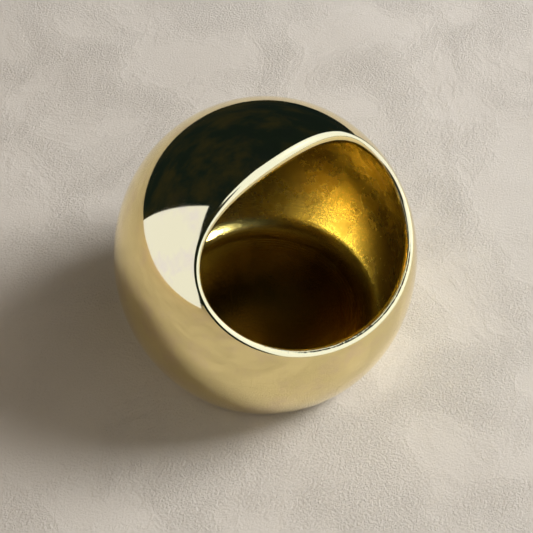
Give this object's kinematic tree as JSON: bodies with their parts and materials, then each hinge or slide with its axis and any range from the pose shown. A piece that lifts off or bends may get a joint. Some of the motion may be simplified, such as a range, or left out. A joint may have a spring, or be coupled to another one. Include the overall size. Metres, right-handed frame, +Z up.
{
  "type": "planter pot",
  "caption": "Round double-walled brass planter pot with a scooped, tilted mouth, a rounded rim bead, a satin inside with a flat spun floor, and a flat felt-covered base.",
  "frame": {"origin": "centre of the underside, on the surface that the pot stands on", "axes": "+Z up; the mouth leans towards -Y; the pot is the same on both sides of the YZ plane"},
  "size_m": [0.2, 0.2, 0.1838],
  "materials": {
    "polished_brass": "mirror polished",
    "raw_brass": "satin, as spun",
    "steel_plate": "plain mild steel",
    "felt": "pressed felt"
  },
  "bodies": {
    "root": {"outer_shell_upper": "polished_brass", "outer_shell_lower": "polished_brass", "rim_bead": "polished_brass", "liner_upper": "raw_brass", "liner_lower": "raw_brass", "girth_hoop": "raw_brass", "base_weight": "steel_plate", "felt_base": "felt"}
  },
  "joints": []
}
